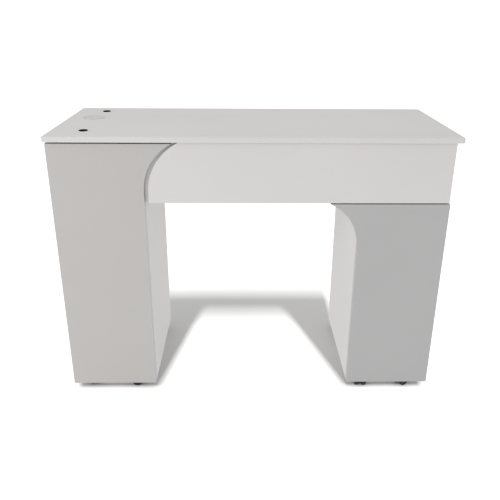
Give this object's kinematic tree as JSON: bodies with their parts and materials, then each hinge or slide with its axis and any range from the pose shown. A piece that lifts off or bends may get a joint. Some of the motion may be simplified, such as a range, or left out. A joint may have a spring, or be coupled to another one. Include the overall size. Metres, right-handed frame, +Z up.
{
  "type": "manicure table",
  "caption": "Two-pedestal manicure table with flared front panels, a drawer column, a cabinet with a door, cable grommets and twin-wheel casters.",
  "frame": {"origin": "on the floor under the middle of the tabletop", "axes": "+X to the client's right along the tabletop, +Y from the client's side to the technician's side, +Z up"},
  "size_m": [1.1, 0.45, 0.803],
  "materials": {
    "white_melamine": "satin white melamine on particleboard",
    "grey_melamine": "satin light grey melamine on particleboard",
    "drawer_board": "matt pale melamine",
    "satin_steel": "satin",
    "zinc_steel": "zinc plated",
    "white_plastic": "smooth moulded",
    "black_nylon": "moulded, slightly glossy"
  },
  "bodies": {
    "carcass": {"tabletop": "white_melamine", "cable_grommets": "white_plastic", "left_fascia": "grey_melamine", "right_fascia": "grey_melamine", "apron_front": "white_melamine", "left_outer_side": "white_melamine", "left_inner_side": "white_melamine", "left_bottom": "white_melamine", "right_outer_side": "white_melamine", "right_inner_side": "white_melamine", "right_bottom": "white_melamine", "right_top": "white_melamine", "apron_bottom": "white_melamine", "apron_end": "white_melamine", "apron_partition": "white_melamine", "apron_rail": "white_melamine", "cabinet_shelf": "white_melamine", "shelf_pins": "zinc_steel", "drawer_rails": "zinc_steel", "cabinet_hinge_leaves": "zinc_steel", "magnetic_catch": "white_plastic", "caster_plates": "zinc_steel", "caster_screws": "zinc_steel", "carcass_screws": "zinc_steel"},
    "port_lid": {"port_lid": "white_plastic"},
    "door": {"door_panel": "white_melamine", "door_fittings": "zinc_steel", "door_pull": "satin_steel"},
    "centre_drawer": {"centre_drawer_front": "white_melamine", "centre_drawer_box": "drawer_board", "centre_drawer_pull": "satin_steel", "centre_drawer_slides": "zinc_steel"},
    "top_drawer": {"top_drawer_front": "white_melamine", "top_drawer_box": "drawer_board", "top_drawer_pull": "satin_steel", "top_drawer_slides": "zinc_steel"},
    "middle_drawer": {"middle_drawer_front": "white_melamine", "middle_drawer_box": "drawer_board", "middle_drawer_pull": "satin_steel", "middle_drawer_slides": "zinc_steel"},
    "bottom_drawer": {"bottom_drawer_front": "white_melamine", "bottom_drawer_box": "drawer_board", "bottom_drawer_pull": "satin_steel", "bottom_drawer_slides": "zinc_steel"},
    "left_outer_front_caster": {"left_outer_front_caster_hood": "black_nylon"},
    "left_outer_front_wheels": {"left_outer_front_caster_wheels": "black_nylon"},
    "left_outer_back_caster": {"left_outer_back_caster_hood": "black_nylon"},
    "left_outer_back_wheels": {"left_outer_back_caster_wheels": "black_nylon"},
    "left_inner_front_caster": {"left_inner_front_caster_hood": "black_nylon"},
    "left_inner_front_wheels": {"left_inner_front_caster_wheels": "black_nylon"},
    "left_inner_back_caster": {"left_inner_back_caster_hood": "black_nylon"},
    "left_inner_back_wheels": {"left_inner_back_caster_wheels": "black_nylon"},
    "right_inner_front_caster": {"right_inner_front_caster_hood": "black_nylon"},
    "right_inner_front_wheels": {"right_inner_front_caster_wheels": "black_nylon"},
    "right_inner_back_caster": {"right_inner_back_caster_hood": "black_nylon"},
    "right_inner_back_wheels": {"right_inner_back_caster_wheels": "black_nylon"},
    "right_outer_front_caster": {"right_outer_front_caster_hood": "black_nylon"},
    "right_outer_front_wheels": {"right_outer_front_caster_wheels": "black_nylon"},
    "right_outer_back_caster": {"right_outer_back_caster_hood": "black_nylon"},
    "right_outer_back_wheels": {"right_outer_back_caster_wheels": "black_nylon"}
  },
  "joints": [
    {"name": "lid_lift", "type": "slide", "parent": "carcass", "child": "port_lid", "axis": [0, 0, 1], "range_m": [0, 0.03]},
    {"name": "door_hinge", "type": "hinge", "parent": "carcass", "child": "door", "pos_m": [-0.548, 0.18375, 0.4], "axis": [0, 0, 1], "range_deg": [0, 180]},
    {"name": "centre_drawer_slide", "type": "slide", "parent": "carcass", "child": "centre_drawer", "axis": [0, 1, 0], "range_m": [0, 0.262]},
    {"name": "top_drawer_slide", "type": "slide", "parent": "carcass", "child": "top_drawer", "axis": [0, 1, 0], "range_m": [0, 0.262]},
    {"name": "middle_drawer_slide", "type": "slide", "parent": "carcass", "child": "middle_drawer", "axis": [0, 1, 0], "range_m": [0, 0.262]},
    {"name": "bottom_drawer_slide", "type": "slide", "parent": "carcass", "child": "bottom_drawer", "axis": [0, 1, 0], "range_m": [0, 0.262]},
    {"name": "left_outer_front_swivel", "type": "hinge", "parent": "carcass", "child": "left_outer_front_caster", "pos_m": [-0.492, -0.158, 0.04], "axis": [0, 0, 1], "continuous": true},
    {"name": "left_outer_front_roll", "type": "hinge", "parent": "left_outer_front_caster", "child": "left_outer_front_wheels", "pos_m": [-0.50119, -0.14881, 0.018], "axis": [-0.7071, -0.7071, 0], "continuous": true},
    {"name": "left_outer_back_swivel", "type": "hinge", "parent": "carcass", "child": "left_outer_back_caster", "pos_m": [-0.492, 0.146, 0.04], "axis": [0, 0, 1], "continuous": true},
    {"name": "left_outer_back_roll", "type": "hinge", "parent": "left_outer_back_caster", "child": "left_outer_back_wheels", "pos_m": [-0.50378, 0.14051, 0.018], "axis": [0.4226, -0.9063, 0], "continuous": true},
    {"name": "left_inner_front_swivel", "type": "hinge", "parent": "carcass", "child": "left_inner_front_caster", "pos_m": [-0.348, -0.158, 0.04], "axis": [0, 0, 1], "continuous": true},
    {"name": "left_inner_front_roll", "type": "hinge", "parent": "left_inner_front_caster", "child": "left_inner_front_wheels", "pos_m": [-0.361, -0.158, 0.018], "axis": [0, -1, 0], "continuous": true},
    {"name": "left_inner_back_swivel", "type": "hinge", "parent": "carcass", "child": "left_inner_back_caster", "pos_m": [-0.348, 0.146, 0.04], "axis": [0, 0, 1], "continuous": true},
    {"name": "left_inner_back_roll", "type": "hinge", "parent": "left_inner_back_caster", "child": "left_inner_back_wheels", "pos_m": [-0.35926, 0.1525, 0.018], "axis": [-0.5, -0.866, 0], "continuous": true},
    {"name": "right_inner_front_swivel", "type": "hinge", "parent": "carcass", "child": "right_inner_front_caster", "pos_m": [0.342, -0.158, 0.04], "axis": [0, 0, 1], "continuous": true},
    {"name": "right_inner_front_roll", "type": "hinge", "parent": "right_inner_front_caster", "child": "right_inner_front_wheels", "pos_m": [0.34109, -0.17097, 0.018], "axis": [0.9976, -0.0698, 0], "continuous": true},
    {"name": "right_inner_back_swivel", "type": "hinge", "parent": "carcass", "child": "right_inner_back_caster", "pos_m": [0.342, 0.146, 0.04], "axis": [0, 0, 1], "continuous": true},
    {"name": "right_inner_back_roll", "type": "hinge", "parent": "right_inner_back_caster", "child": "right_inner_back_wheels", "pos_m": [0.3485, 0.15726, 0.018], "axis": [-0.866, 0.5, 0], "continuous": true},
    {"name": "right_outer_front_swivel", "type": "hinge", "parent": "carcass", "child": "right_outer_front_caster", "pos_m": [0.483, -0.158, 0.04], "axis": [0, 0, 1], "continuous": true},
    {"name": "right_outer_front_roll", "type": "hinge", "parent": "right_outer_front_caster", "child": "right_outer_front_wheels", "pos_m": [0.47235, -0.16546, 0.018], "axis": [0.5736, -0.8192, 0], "continuous": true},
    {"name": "right_outer_back_swivel", "type": "hinge", "parent": "carcass", "child": "right_outer_back_caster", "pos_m": [0.483, 0.146, 0.04], "axis": [0, 0, 1], "continuous": true},
    {"name": "right_outer_back_roll", "type": "hinge", "parent": "right_outer_back_caster", "child": "right_outer_back_wheels", "pos_m": [0.47078, 0.14155, 0.018], "axis": [0.342, -0.9397, 0], "continuous": true}
  ]
}
